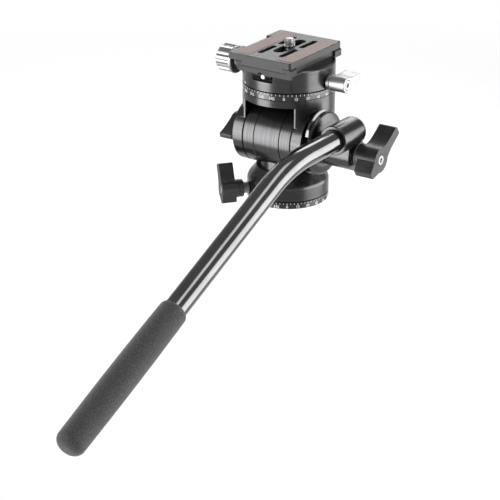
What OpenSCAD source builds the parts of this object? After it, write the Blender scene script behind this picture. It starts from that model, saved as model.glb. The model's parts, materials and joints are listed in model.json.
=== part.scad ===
// Compact fluid video head: pan base, damped tilt drum in a fork, panorama turntable,
// quick-release clamp and a bent pan handle. Millimetres, +Z up, +Y towards the lens,
// +X on the handle side, origin on the pan axis at the foot of the base.

/* [Base] */
// Diameter of the base disc and the pan housing
base_d = 49; // [47:0.2:56]
// Height of the base disc that carries the pan scale
base_disc_h = 4.2; // [3.6:0.1:6]
// Height of the straight wall of the housing
housing_wall_h = 8.8; // [8:0.1:11]
// Height of the sloped shoulder above the wall
shoulder_h = 7; // [6.4:0.1:10]
// Diameter at the top of the shoulder
shoulder_top_d = 38; // [36:0.5:42]
// Width of the bright rim at the top of the wall
rim_w = 0.8; // [0.4:0.1:1.6]
// Diameter of the pedestal under the drum
pedestal_d = 30; // [26:0.5:33]

/* [Pan bearing] */
// Thread diameter of the tripod hole
tripod_thread_d = 9.525; // [6.35:0.005:9.525]
// Depth of the tripod thread
tripod_thread_depth = 9; // [7:0.5:10]
// Wall of the steel thread bush
bush_wall = 2.75; // [2:0.25:3.5]
// Wall of the pan spindle round the bush
spindle_wall = 2; // [1.5:0.25:2.5]
// Thickness of the closed end above the bush
spindle_cap = 1.6; // [1.2:0.1:2]
// Diameter of the threaded stud on the spindle
spindle_stud_d = 8; // [6:0.5:9]
// Thickness of the thrust washer under the housing
thrust_t = 1.15; // [0.8:0.05:1.6]
// Thickness of the drag washer under the nut
drag_t = 1.4; // [1:0.1:1.8]
// Height of the pan nut
pan_nut_h = 4; // [3:0.5:4.5]

/* [Pan lock] */
// Direction of the pan lock round the base
pan_lock_angle = 230; // [205:1:245]
// Height of the pan lock above the foot of the housing
pan_lock_rise = 2.8; // [2.8:0.1:4.2]
// Diameter of the pan lock stud
pan_stud_d = 3.6; // [3:0.1:3.6]
// Bare length of the stud between housing and collar
pan_stud_show = 3.9; // [2.6:0.1:7]
// Length of the pan lock knob
pan_knob_len = 10.6; // [8:0.1:14]
// Reach of its wing from the axis
pan_knob_wing = 15.6; // [12:0.1:18]

/* [Tilt drum] */
// Diameter of the drum, the arm ends and the handle boss
drum_d = 38.2; // [35:0.2:42]
// Width of the middle of the drum
drum_core_w = 17; // [14:0.5:20]
// Width of each end ring of the drum
drum_ring_w = 8.1; // [6.5:0.1:9]
// Gap between shoulder and drum
drum_clear = 0.8; // [0.6:0.1:2]
// Set-back of the tilt axis behind the pan axis
tilt_back = 5.2; // [3:0.1:6]
// Diameter of the tilt axle
axle_d = 12; // [9:0.5:13]
// Outside diameter of the tilt bushes
tilt_bush_d = 18; // [16:0.5:20]
// Diameter of the damper chamber
damper_d = 26; // [23:0.5:28]

/* [Fork] */
// Diameter of the platform, the scale ring and the turntable
head_d = 54.4; // [52.4:0.2:58]
// Thickness of each arm at its round end
arm_t = 6.6; // [5.6:0.1:7.6]
// Gap between drum and platform
fork_gap = 4; // [3:0.1:7]
// Thickness of the platform
platform_t = 4.2; // [3.6:0.1:6]

/* [Tilt lock] */
// Diameter of the threaded left end of the axle
tilt_stud_d = 8; // [6:0.5:8.5]
// Length of the tilt lock knob
tilt_knob_len = 9.6; // [8:0.1:13]
// Reach of its wing from the axis
tilt_knob_wing = 17.2; // [13:0.1:18]

/* [Handle mount] */
// Thickness of the round boss on the right arm
boss_t = 6.9; // [5.5:0.1:9]
// Drop of the handle pivot below the tilt axis
pivot_drop = 2.8; // [0:0.1:4]
// Thickness of the toothed rosette
rosette_t = 1.6; // [1.2:0.1:2.5]
// Number of rosette grooves
rosette_teeth = 24; // [12:1:36]
// Diameter of the rosette and the bracket foot
pivot_d = 18.6; // [16:0.2:20]
// Width of the bracket foot
bracket_w = 17.7; // [15:0.1:21]
// Diameter of the clamping stud
pivot_stud_d = 6; // [5:0.5:6.5]
// Height of the socket axis above the pivot
socket_rise = 13.4; // [13:0.1:15]
// Outside diameter of the socket
socket_d = 17.2; // [16.4:0.1:18]
// Length of the socket
socket_len = 26; // [22:0.5:32]
// Overhang of the socket in front of the pivot
socket_front = 6.2; // [4:0.1:8]
// Length of the handle knob
handle_knob_len = 13.9; // [13:0.1:18]
// Reach of its wing from the axis
handle_knob_wing = 22.8; // [18:0.2:25]

/* [Handle] */
// Diameter of the handle tube
tube_d = 12.6; // [11:0.1:13]
// Wall of the handle tube
tube_wall = 1.5; // [1:0.1:2.5]
// Depth of the tube in its socket
tube_seat = 19; // [14:0.5:20]
// Straight run from the socket to the bend
tube_straight = 29; // [15:0.5:60]
// Radius of the bend
bend_radius = 90; // [60:1:120]
// Angle of the bend
bend_angle = 23.55; // [10:0.05:35]
// Bare tube between bend and grip
tube_bare = 93.8; // [50:0.2:140]
// Length of the grip
grip_len = 95; // [70:0.5:130]
// Outside diameter of the grip
grip_d = 15.6; // [15:0.1:22]

/* [Turntable] */
// Height of the scale ring
scale_ring_h = 4.3; // [3.6:0.1:6]
// Height of the turntable
turntable_h = 12.9; // [12.6:0.1:16]
// Diameter of its spindle
turn_spindle_d = 16; // [13:0.5:18]
// Width of the level window at the rear
level_w = 14.2; // [11:0.2:16]
// Sideways place of the level window
level_x = -1.1; // [-2:0.1:1]
// Height of the level window
level_h = 6.3; // [4.8:0.1:6.6]
// Depth of the level window
level_deep = 4.6; // [4.2:0.1:5.5]
// Diameter of the level vial
vial_d = 3.8; // [3:0.1:4]

/* [Panorama lever] */
// Height of the lever axis above the foot of the turntable
lever_rise = 3.6; // [3.2:0.1:4.2]
// Diameter of the lever hub
lever_hub_d = 9.2; // [7:0.1:10]
// Length of the hub outside the turntable
lever_hub_len = 12.8; // [11.6:0.2:14]
// Reach of the wing from the axis
lever_wing_len = 14.4; // [11:0.2:16]

/* [Clamp] */
// Left edge of the clamp base
clamp_left = 16.8; // [16.4:0.1:17.4]
// Right edge of the clamp base
clamp_right = 20; // [19.4:0.1:21]
// Depth of the clamp base in the turntable
clamp_sink = 1; // [0.6:0.1:1.2]
// Thickness of the clamp floor
clamp_floor = 2; // [1.8:0.1:3]
// Drop of the rear lip in front of the turntable
rear_lip = 1.2; // [0.6:0.1:2]
// Height of the dovetail
dovetail_h = 2.5; // [2:0.1:3]
// Half width of the dovetail at its foot
dovetail_half = 16; // [15.6:0.1:16.4]
// Sideways place of the dovetail centre
dovetail_x = 0.6; // [0.4:0.1:0.8]
// Length of the moving jaw
jaw_len = 38; // [30:0.5:41]
// Distance of the clamp screw behind the pan axis
screw_back = 10.4; // [9.6:0.1:11]
// Depth of the clamp screw below the top of the turntable
screw_drop = 3.1; // [3.1:0.1:4]
// Diameter of the clamp screw
clamp_screw_d = 3.5; // [2.5:0.5:3.5]
// Diameter of the clamp knob
clamp_knob_d = 16.4; // [13:0.1:17]
// Length of the clamp knob
clamp_knob_len = 11.2; // [8:0.2:14]
// Number of flutes on the clamp knob
clamp_flutes = 12; // [8:1:16]

/* [Plate] */
// Width of the plate
plate_w = 42.6; // [41:0.1:46]
// Length of the plate and the clamp
plate_l = 55; // [54:0.2:62]
// Thickness of the plate above its dovetail
plate_t = 3.8; // [3:0.1:5]
// Sideways place of the plate centre
plate_x = -1.6; // [-2:0.1:-1.2]
// Lengthwise place of the plate centre
plate_y = -2.05; // [-2.5:0.05:-1.9]
// Depth of the cut-out in the left edge
notch_deep = 3.2; // [1.5:0.1:3.6]
// Length of the cut-out in the left edge
notch_len = 25; // [15:0.5:32]
// Width of each rubber pad
pad_w = 9; // [7:0.1:9.4]
// Height of the pads above the plate
pad_proud = 0.25; // [0.1:0.05:0.6]
// Diameter of the camera screw
camera_screw_d = 6.35; // [5:0.05:6.5]
// Length of the camera screw's thread above the pads
camera_screw_show = 4.5; // [3.5:0.1:6]

/* [Hidden] */
$fn = 96;
// Clear gap between pieces that move past each other
gap = 0.3;
// Radial clearance of running fits
run = 0.05;
// Flat clearance of sliding and turning faces
slide = 0.1;
// Overshoot of cuts past the surface they open
over = 1;
// Chamfer of turned edges
chamfer = 0.5;
// Head radius and depth of the small end screws
end_screw_r = 2.9;
end_screw_h = 1.4;
hex_across = 3;
// Powers of the hollow curves of the wings
wing_hollow = 4;
tilt_hollow = 1.3;
lever_hollow = 2;

base_r = base_d / 2;
housing_z = base_disc_h + gap;
wall_top = housing_z + housing_wall_h;
shoulder_top = wall_top + shoulder_h;
thread_r = tripod_thread_d / 2;
bush_r = thread_r + bush_wall;
bush_top = tripod_thread_depth + spindle_cap;
spindle_r = bush_r + spindle_wall;
spindle_top = bush_top + spindle_cap;
stud_r = spindle_stud_d / 2;
drag_r = spindle_r + 3;
nut_r = stud_r + 3.4;
stud_top = spindle_top + drag_t + pan_nut_h + 0.6;
ledge_z = spindle_top - slide;
cavity_top = stud_top + over;
thrust_in = spindle_r + 1.2;
thrust_out = base_r - 4;

pan_lock_z = housing_z + pan_lock_rise;
pan_stud_r = pan_stud_d / 2;
shoe_in = spindle_r + 0.15;
shoe_out = shoe_in + 3;
pan_collar_x = base_r + pan_stud_show;
pan_collar_w = 2.8;
pan_shoulder_r = 3.2;
pan_collar_r = 5.3;
pan_knob_r = 5.4;
pan_knob_bore = pan_knob_len - 4;
pan_knob_x = pan_collar_x + pan_collar_w;

drum_r = drum_d / 2;
tilt_y = -tilt_back;
tilt_z = shoulder_top + drum_clear + drum_r;
core_x = drum_core_w / 2;
ring_x = core_x + drum_ring_w;
slot_x = ring_x + gap;
arm_x = slot_x + arm_t;
axle_r = axle_d / 2;
tilt_bush_r = tilt_bush_d / 2;
damper_r = damper_d / 2;
damper_pitch = drum_core_w / 7;
damper_t = damper_pitch * 0.55;
rotor_r = axle_r + 2;

head_r = head_d / 2;
platform_z = tilt_z + drum_r + fork_gap;
scale_z = platform_z + platform_t;
scale_top = scale_z + scale_ring_h;
turn_z = scale_top + gap;
turn_top = turn_z + turntable_h;
arm_front = sqrt(head_r * head_r - slot_x * slot_x);

tilt_stud_r = tilt_stud_d / 2;
tilt_spacer_x = arm_x + 0.8;
tilt_knob_x = tilt_spacer_x + gap;
tilt_bore_end = tilt_knob_len - 2.5;

boss_x = arm_x + boss_t;
boss_disc_t = boss_t * 0.4;
boss_dome = boss_disc_t * 0.4;
boss_disc_r = drum_r - 0.2;
boss_flat_r = boss_disc_r * 0.7;
boss_neck_r = boss_disc_r * 0.7;
boss_back_x = boss_x - boss_disc_t;
cheek_x = boss_back_x - gap;
pivot_z = tilt_z - pivot_drop;
pivot_r = pivot_d / 2;
bracket_x = boss_x + rosette_t + gap;
bracket_end = bracket_x + bracket_w;
pivot_stud_r = pivot_stud_d / 2;
socket_r = socket_d / 2;
socket_z = pivot_z + socket_rise;
socket_x = bracket_end - 4;
socket_y1 = tilt_y + socket_front;
socket_y0 = socket_y1 - socket_len;
washer_r = pivot_stud_r + 2;
handle_knob_r = 7.4;
// The hub starts where the round socket has curved clear of it
handle_knob_x = max(
    bracket_end + 1.2,
    socket_x + sqrt(socket_r * socket_r - pow(socket_rise - handle_knob_r - gap, 2))
);
handle_wing_from = socket_x + socket_r + 0.6 - handle_knob_x;

tube_r = tube_d / 2;
tube_bore = tube_r - tube_wall;
grip_r = grip_d / 2;
grip_end_t = 4;
bend_y = socket_y0 - tube_straight;

turn_ledge = turn_z + 6.6;
retainer_z = turn_ledge + slide;
retainer_t = 1.6;
turn_spindle_r = turn_spindle_d / 2;
retainer_r = turn_spindle_r + 3.4;
turn_cavity_r = retainer_r + 1;
channel_z = turn_top - clamp_sink;
level_z = channel_z - level_h;
level_x0 = level_x - level_w / 2;
level_x1 = level_x + level_w / 2;
level_wall = 1;
vial_r = vial_d / 2;
vial_y = -head_r + 2.4;
vial_z = channel_z - vial_r - 0.7;

lever_z = turn_z + lever_rise;
lever_r = lever_hub_d / 2;
lever_stud_r = 2;
lever_hub_x = head_r + gap;
lever_wing_t = 10.4;
lever_end = head_r + lever_hub_len;
lever_wing_x = lever_end - lever_wing_t;
lever_shoe_in = turn_spindle_r + 0.15;
lever_shoe_out = lever_shoe_in + 2;

floor_top = channel_z + clamp_floor;
dovetail_z = floor_top + slide * 2;
plate_z = dovetail_z + dovetail_h;
plate_top = plate_z + plate_t;
dovetail_neck = dovetail_half - dovetail_h;
jaw_top = plate_z - slide * 2;
jaw_clear = 0.15;
plate_y0 = plate_y - plate_l / 2;
plate_y1 = plate_y + plate_l / 2;
plate_left = plate_x - plate_w / 2;
plate_right = plate_x + plate_w / 2;
block_out = min(-head_r, plate_left) - 0.7;
boss_half = 5.6;
boss_in = plate_left + 0.7;
screw_y = -screw_back;
jaw_y0 = screw_y - boss_half - 1;
jaw_y1 = jaw_y0 + jaw_len;
// Outer top edge of the rail that carries the plate behind the moving jaw
rail_out = dovetail_x - dovetail_half - 2.7;
lip_z = channel_z - rear_lip;
screw_z = turn_top - screw_drop;
clamp_screw_r = clamp_screw_d / 2;
pin_r = 1;
pin_step = 4;
// Pin ends stand out of the jaw boss so that they still guide it when it is open
pin_proud = 0.6;
pin_z = screw_z - 1.2;
collar_x = block_out - slide;
collar_w = 0.8;
// The collar turns between the ends of the guide pins
collar_r = norm([pin_step, pin_z - screw_z]) - pin_r - slide;
clamp_knob_r = clamp_knob_d / 2;
clamp_knob_x = collar_x - collar_w;
screw_tip = -sqrt(head_r * head_r - screw_back * screw_back) + 13;
base_screw_x = 8.5;
base_screw_y = 17.5;
base_screw_r = 1.5;
base_screw_head_r = 2.8;
base_screw_head = 1.4;
base_screw_hex = 2.5;
base_screw_grip = 4;
base_screws = [for (sx = [-1, 1], sy = [-1, 1]) [base_screw_x * sx, base_screw_y * sy]];

camera_x = plate_x + plate_w / 2 - 19.4;
camera_y = plate_y + 2;
camera_r = camera_screw_d / 2;
head_flange_r = camera_r + 3.6;
// Step from the thread down to the neck that keeps the screw in its slot
neck_relief = 0.35;
pocket_half = head_flange_r + 0.6;
slot_len = 29;
side_slot_w = 3.2;
side_slot_step = 7.2;
pad_step = 14.6;
pad_len = plate_l - 5;
pad_seat = 0.6;

black = "#1c1c1e";
dark_grey = "#3a3a3d";
plate_grey = "#b9bbbd";
silver = "#d2d4d6";
steel = "#8f9499";
brass = "#b8964a";
rubber_brown = "#a88d86";
white_nylon = "#e6e4dc";

// Round bar along X between two stations
module bar_x(r, x0, x1, y = 0, z = 0) {
    translate([x0, y, z]) rotate([0, 90, 0]) cylinder(r = r, h = x1 - x0);
}

// Round bar along Y between two stations
module bar_y(r, y0, y1, x, z) {
    translate([x, y1, z]) rotate([90, 0, 0]) cylinder(r = r, h = y1 - y0);
}

// Bar on the tilt axis
module tilt_bar(r, x0, x1) {
    bar_x(r, x0, x1, tilt_y, tilt_z);
}

// Bar on the handle pivot
module pivot_bar(r, x0, x1) {
    bar_x(r, x0, x1, tilt_y, pivot_z);
}

// Ring about Z
module ring_z(r_in, r_out, z0, z1) {
    translate([0, 0, z0]) difference() {
        cylinder(r = r_out, h = z1 - z0);
        translate([0, 0, -over]) cylinder(r = r_in, h = z1 - z0 + 2 * over);
    }
}

// Box from its two corners
module block(low, high) {
    translate(low) cube(high - low);
}

// Outline drawn in Y and Z, carried along X
module along_x(x0, x1) {
    translate([x0, 0, 0]) rotate([90, 0, 90]) linear_extrude(x1 - x0) children();
}

// Outline drawn in X and Z, carried along Y
module along_y(y0, y1) {
    translate([0, y1, 0]) rotate([90, 0, 0]) linear_extrude(y1 - y0) children();
}

// Turned ring on the tilt axis with chamfered outer edges
module drum_turning(r_in, r_out, x0, x1) {
    w = x1 - x0;
    translate([x0, tilt_y, tilt_z]) rotate([0, 90, 0]) rotate_extrude()
        polygon([
            [r_in, 0], [r_out - chamfer, 0], [r_out, chamfer],
            [r_out, w - chamfer], [r_out - chamfer, w], [r_in, w]
        ]);
}

// Puts a piece built along local Z on an axis along X, turned to a clock angle in Y and Z
module on_axis_x(x, y, z, clock) {
    translate([x, y, z]) rotate([90, 0, 90]) rotate([0, 0, clock - 90]) children();
}

// Swings the frame of the pan lock round the base
module pan_lock_frame() {
    rotate([0, 0, pan_lock_angle]) translate([0, 0, pan_lock_z]) children();
}

// Half width of a wing that narrows in a curve from hub to tip, the more hollow the higher its power
function wing_half(u, hub_r, tip, hollow) = tip + (hub_r * 0.94 - tip) * pow(1 - u, hollow);

// Outline of a wing knob seen along its axis, wing towards +Y and an optional stub opposite
module wing_outline(hub_r, wing, stub, tip, hollow) {
    steps = 12;
    root = hub_r * 0.3;
    corner = tip * 0.45;
    flat = tip - corner;
    reach = wing - corner - root;
    side = [for (i = [0 : steps]) [wing_half(i / steps, hub_r, tip, hollow), root + reach * i / steps]];
    circle(r = hub_r);
    polygon(concat(side, [for (i = [steps : -1 : 0]) [-side[i][0], side[i][1]]]));
    translate([-flat, wing - tip]) square([2 * flat, tip]);
    for (x = [-flat, flat]) translate([x, wing - corner]) circle(r = corner);
    if (stub > hub_r) {
        wide = hub_r * 0.98;
        narrow = hub_r * 0.3;
        polygon([[-wide, 0], [wide, 0], [narrow, -stub], [-narrow, -stub]]);
    }
}

// Wing knob along Z: round hub, wing and stub from one station to the end face, bore for its
// stud and a seat for its end screw
module wing_knob(len, hub_r, wing, stub, tip, hollow, wing_from, bore_r, bore_len, screw_r) {
    difference() {
        union() {
            cylinder(r = hub_r, h = len);
            translate([0, 0, wing_from]) linear_extrude(len - wing_from)
                wing_outline(hub_r, wing, stub, tip, hollow);
        }
        translate([0, 0, -over]) cylinder(r = bore_r, h = bore_len + over);
        translate([0, 0, len - end_screw_h]) cylinder(r = screw_r, h = end_screw_h + over);
    }
}

// Flat screw head with a hexagon socket, set in the end face of a knob
module end_screw(len, r) {
    translate([0, 0, len - end_screw_h]) difference() {
        cylinder(r = r, h = end_screw_h);
        translate([0, 0, 0.5]) cylinder(d = hex_across, h = end_screw_h, $fn = 6);
    }
}

module base_disc() {
    color(black) rotate_extrude()
        polygon([
            [bush_r, 0], [base_r - chamfer, 0], [base_r, chamfer],
            [base_r, base_disc_h - chamfer / 2], [base_r - chamfer / 2, base_disc_h],
            [bush_r, base_disc_h]
        ]);
}

module tripod_bush() {
    color(steel) difference() {
        cylinder(r = bush_r, h = bush_top);
        translate([0, 0, -over]) cylinder(r = thread_r, h = tripod_thread_depth + over);
    }
}

module pan_spindle() {
    color(steel) rotate_extrude()
        polygon([
            [bush_r, base_disc_h], [spindle_r, base_disc_h], [spindle_r, spindle_top],
            [stud_r, spindle_top], [stud_r, stud_top], [0, stud_top], [0, bush_top], [bush_r, bush_top]
        ]);
}

module pan_thrust_washer() {
    color(white_nylon) ring_z(thrust_in, thrust_out, base_disc_h, base_disc_h + thrust_t);
}

module pan_drag_washer() {
    color(white_nylon) ring_z(stud_r, drag_r, spindle_top, spindle_top + drag_t);
}

module pan_nut() {
    z = spindle_top + drag_t;
    color(steel) difference() {
        translate([0, 0, z]) cylinder(r = nut_r, h = pan_nut_h, $fn = 6);
        translate([0, 0, z - over]) cylinder(r = stud_r, h = pan_nut_h + 2 * over);
    }
}

// Turned outside of the housing: wall, rim and sloped shoulder
module housing_turning() {
    rotate_extrude() polygon([
        [0, housing_z], [base_r - chamfer / 2, housing_z], [base_r, housing_z + chamfer / 2],
        [base_r, wall_top - rim_w / 2], [base_r - rim_w, wall_top],
        [shoulder_top_d / 2, shoulder_top], [0, shoulder_top]
    ]);
}

// Round foot that carries the drum, relieved round the end rings
module drum_pedestal() {
    difference() {
        translate([0, tilt_y / 2, shoulder_top - over])
            cylinder(d = pedestal_d, h = tilt_z - drum_r / 2 - shoulder_top + over);
        tilt_bar(drum_r + slide, core_x, pedestal_d);
        tilt_bar(drum_r + slide, -pedestal_d, -core_x);
    }
}

module pan_housing() {
    color(black) difference() {
        union() {
            housing_turning();
            drum_pedestal();
            tilt_bar(drum_r, -core_x, core_x);
        }
        tilt_bar(damper_r, -core_x - over, core_x + over);
        cylinder(r = spindle_r + run, h = ledge_z + over);
        cylinder(r = thrust_out + gap, h = base_disc_h + thrust_t + slide);
        translate([0, 0, ledge_z]) cylinder(r = drag_r + gap, h = cavity_top - ledge_z);
        pan_lock_frame() bar_x(pan_stud_r + run, 0, base_r + over);
    }
}

// End ring of the drum on the right side
module drum_ring() {
    color(black) drum_turning(tilt_bush_r, drum_r, core_x, ring_x);
}

module drum_ring_right() {
    drum_ring();
}

module drum_ring_left() {
    mirror([1, 0, 0]) drum_ring();
}

// Plain bearing of the axle in the right end ring
module tilt_bush() {
    color(brass) difference() {
        tilt_bar(tilt_bush_r, core_x, ring_x);
        tilt_bar(axle_r + run, core_x - over, ring_x + over);
    }
}

module tilt_bush_right() {
    tilt_bush();
}

module tilt_bush_left() {
    mirror([1, 0, 0]) tilt_bush();
}

module damper_plates() {
    color(steel) for (side = [-1, 1]) {
        x = side * damper_pitch - damper_t / 2;
        difference() {
            tilt_bar(damper_r, x, x + damper_t);
            tilt_bar(rotor_r + gap, x - over, x + damper_t + over);
        }
    }
}

module pan_lock_shoe() {
    color(brass) pan_lock_frame() bar_x(pan_stud_r + run, shoe_in, shoe_out);
}

// The stud is thicker where it shows between housing and collar
module pan_lock_stud() {
    color(silver) pan_lock_frame() {
        bar_x(pan_stud_r, shoe_out + slide, pan_knob_x + pan_knob_bore);
        bar_x(pan_shoulder_r, base_r + gap, pan_collar_x);
    }
}

module pan_lock_collar() {
    color(black) pan_lock_frame() difference() {
        bar_x(pan_collar_r, pan_collar_x, pan_knob_x);
        bar_x(pan_stud_r, pan_collar_x - over, pan_knob_x + over);
    }
}

pan_knob_clock = 116;
pan_knob_stub = 8.2;
pan_knob_tip = 2.9;
pan_knob_from = 2;
pan_screw_r = 2.2;

module pan_lock_knob() {
    color(black) pan_lock_frame() on_axis_x(pan_knob_x, 0, 0, pan_knob_clock)
        wing_knob(pan_knob_len, pan_knob_r, pan_knob_wing, pan_knob_stub, pan_knob_tip, wing_hollow,
            pan_knob_from, pan_stud_r, pan_knob_bore, pan_screw_r);
}

module pan_lock_screw() {
    color(steel) pan_lock_frame() on_axis_x(pan_knob_x, 0, 0, pan_knob_clock)
        end_screw(pan_knob_len, pan_screw_r);
}

// Front flank of an arm: straight from the platform edge, tangent to the round arm end
flank = [arm_front - tilt_y, platform_z - tilt_z];
flank_angle = atan2(flank[1], flank[0]) - acos(drum_r / norm(flank));

module arm_outline() {
    polygon([
        [tilt_y, tilt_z], [-head_r, tilt_z], [-head_r, platform_z + over], [arm_front, platform_z + over],
        [arm_front, platform_z],
        [tilt_y + drum_r * cos(flank_angle), tilt_z + drum_r * sin(flank_angle)]
    ]);
}

// Arm with a round end; outside it a cheek on the round of the head, with a pocket on the tilt axis
module fork_arm(pocket_r) {
    tilt_bar(drum_r, slot_x, arm_x);
    difference() {
        intersection() {
            union() {
                along_x(slot_x, cheek_x) arm_outline();
                tilt_bar(drum_r, slot_x, cheek_x);
            }
            cylinder(r = head_r, h = platform_z + over);
        }
        tilt_bar(pocket_r, arm_x, cheek_x + over);
    }
}

module tilt_fork() {
    color(black) difference() {
        union() {
            translate([0, 0, platform_z]) cylinder(r = head_r, h = platform_t);
            fork_arm(boss_neck_r + gap);
            mirror([1, 0, 0]) fork_arm(drum_r + gap);
        }
        tilt_bar(axle_r, -arm_x - over, arm_x + over);
        translate([0, 0, platform_z + over]) cylinder(r = turn_spindle_r, h = platform_t);
    }
}

module tilt_axle() {
    color(steel) {
        tilt_bar(axle_r, -arm_x, arm_x);
        tilt_bar(tilt_stud_r, -tilt_knob_x - tilt_bore_end + gap, -arm_x);
    }
}

module damper_rotor() {
    half = core_x - 0.5;
    color(brass) difference() {
        union() {
            tilt_bar(rotor_r, -half, half);
            for (i = [-1 : 1]) {
                x = 2 * i * damper_pitch - damper_t / 2;
                tilt_bar(damper_r - gap, x, x + damper_t);
            }
        }
        tilt_bar(axle_r, -core_x, core_x);
    }
}

module tilt_lock_spacer() {
    color(dark_grey) difference() {
        tilt_bar(tilt_stud_r + 5, -tilt_spacer_x, -arm_x);
        tilt_bar(tilt_stud_r, -tilt_spacer_x - over, -arm_x + over);
    }
}

tilt_knob_clock = 189;
tilt_knob_r = 7.4;
tilt_knob_stub = 10;
tilt_knob_tip = 1.6;
tilt_knob_from = 1;

module on_tilt_lock() {
    mirror([1, 0, 0]) on_axis_x(tilt_knob_x, tilt_y, tilt_z, tilt_knob_clock) children();
}

module tilt_lock_knob() {
    color(black) on_tilt_lock()
        wing_knob(tilt_knob_len, tilt_knob_r, tilt_knob_wing, tilt_knob_stub, tilt_knob_tip,
            tilt_hollow, tilt_knob_from, tilt_stud_r + run, tilt_bore_end, end_screw_r);
}

module tilt_lock_screw() {
    color(steel) on_tilt_lock() end_screw(tilt_knob_len, end_screw_r);
}

boss_screw_r = 1.5;
boss_head_r = 2.7;
boss_head_h = 2;
boss_screw_circle = boss_neck_r - boss_head_r - 1;

// Places of the two boss screws round the tilt axis
module at_boss_screws() {
    for (a = [200, 340])
        translate([0, tilt_y + boss_screw_circle * cos(a), tilt_z + boss_screw_circle * sin(a)])
            children();
}

module handle_boss() {
    color(black) difference() {
        translate([0, tilt_y, tilt_z]) rotate([0, 90, 0]) rotate_extrude()
            polygon([
                [0, arm_x], [boss_neck_r, arm_x], [boss_neck_r, boss_back_x], [boss_disc_r, boss_back_x],
                [boss_disc_r, boss_x - boss_dome], [boss_flat_r, boss_x], [0, boss_x]
            ]);
        pivot_bar(pivot_stud_r + run, boss_x - 5.2, boss_x + over);
        at_boss_screws() {
            bar_x(boss_screw_r, arm_x - over, boss_x);
            bar_x(boss_head_r, boss_x - boss_head_h, boss_x + over);
        }
    }
}

module boss_screws() {
    color(steel) at_boss_screws() difference() {
        union() {
            bar_x(boss_screw_r, arm_x, boss_x - boss_head_h);
            bar_x(boss_head_r, boss_x - boss_head_h, boss_x);
        }
        translate([boss_x - 1.2, 0, 0]) rotate([0, 90, 0]) cylinder(d = 2.5, h = 2, $fn = 6);
    }
}

module rosette() {
    groove = 0.8;
    color(steel) difference() {
        pivot_bar(pivot_r, boss_x, boss_x + rosette_t);
        pivot_bar(pivot_stud_r + run, boss_x - over, boss_x + rosette_t + over);
        translate([boss_x + rosette_t - groove / 2, tilt_y, pivot_z]) for (i = [0 : rosette_teeth - 1])
            rotate([i * 360 / rosette_teeth, 0, 0])
                translate([0, pivot_r * 0.6, -groove / 2]) cube([over, pivot_r, groove]);
    }
}

// Turned socket with a domed front end
module socket_turning() {
    dome = socket_r * 0.62;
    translate([socket_x, socket_y0, socket_z]) rotate([-90, 0, 0]) rotate_extrude() {
        square([socket_r, socket_len - dome]);
        square([socket_r - dome, socket_len]);
        translate([socket_r - dome, socket_len - dome]) intersection() {
            circle(r = dome);
            square(dome + over);
        }
    }
}

module handle_bracket() {
    color(black) difference() {
        union() {
            pivot_bar(pivot_r, bracket_x, bracket_end);
            block([socket_x - socket_r + 2, tilt_y - pivot_r + 0.6, pivot_z],
                [bracket_end, tilt_y + pivot_r * 0.6, socket_z]);
            socket_turning();
        }
        bar_y(tube_r, socket_y0 - over, socket_y0 + tube_seat, socket_x, socket_z);
        pivot_bar(pivot_stud_r + run, bracket_x - over, bracket_end + over);
        bar_x(2, socket_x - socket_r - over, socket_x, socket_y0 + 5, socket_z);
    }
}

module handle_grub_screw() {
    color(steel) difference() {
        bar_x(2, socket_x - socket_r + 0.4, socket_x - tube_r, socket_y0 + 5, socket_z);
        translate([socket_x - socket_r - over, socket_y0 + 5, socket_z]) rotate([0, 90, 0])
            cylinder(d = 2, h = over + 1.4, $fn = 6);
    }
}

// Frame at the far end of the bend, local X running on along the handle
module after_bend() {
    away = [0, -sin(bend_angle), cos(bend_angle) - 1];
    translate([socket_x, bend_y, socket_z] + bend_radius * away)
        rotate([0, 0, -90]) rotate([0, bend_angle, 0]) children();
}

// The bend is a trace thinner than the straight runs, which lap into it
bend_thin = 0.02;
bend_lap = 0.2;

// Round bar along the whole path of the handle
module handle_sweep(r, y_start, tail) {
    bar_y(r, bend_y - bend_lap, y_start, socket_x, socket_z);
    translate([socket_x, bend_y, socket_z - bend_radius]) rotate([90, 0, 90]) rotate([0, 0, 90])
        rotate_extrude(angle = bend_angle) translate([bend_radius, 0]) circle(r = r - bend_thin);
    after_bend() bar_x(r, -bend_lap, tail);
}

tube_tail = tube_bare + grip_len - grip_end_t;
plug_len = 6;

module handle_tube() {
    color(black) difference() {
        handle_sweep(tube_r, socket_y0 + tube_seat, tube_tail);
        handle_sweep(tube_bore, socket_y0 + tube_seat + over, tube_tail + over);
    }
}

module handle_end_plug() {
    color(dark_grey) after_bend() bar_x(tube_bore, tube_tail - plug_len, tube_tail);
}

module handle_grip() {
    round_r = grip_r * 0.7;
    color(dark_grey) after_bend() translate([tube_bare, 0, 0]) rotate([0, 90, 0]) difference() {
        rotate_extrude() {
            translate([0, chamfer]) square([grip_r, grip_len - round_r - chamfer]);
            square([grip_r - chamfer, grip_len - round_r]);
            square([grip_r - round_r, grip_len]);
            translate([grip_r - round_r, grip_len - round_r]) intersection() {
                circle(r = round_r);
                square(round_r + over);
            }
        }
        translate([0, 0, -over]) cylinder(r = tube_r, h = grip_len - grip_end_t + over);
    }
}

module handle_knob_washer() {
    color(silver) difference() {
        union() {
            pivot_bar(washer_r, bracket_end + slide, handle_knob_x);
            pivot_bar(handle_knob_r - 0.5, handle_knob_x - 0.6, handle_knob_x);
        }
        pivot_bar(pivot_stud_r, bracket_end, handle_knob_x + over);
    }
}

handle_bore_end = handle_knob_len - 4;

module handle_knob_stud() {
    color(steel) pivot_bar(pivot_stud_r, boss_x - 5, handle_knob_x + handle_bore_end);
}

handle_knob_clock = 35;
handle_knob_stub = 12.2;
handle_knob_tip = 3;

module on_handle_knob() {
    on_axis_x(handle_knob_x, tilt_y, pivot_z, handle_knob_clock) children();
}

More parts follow.
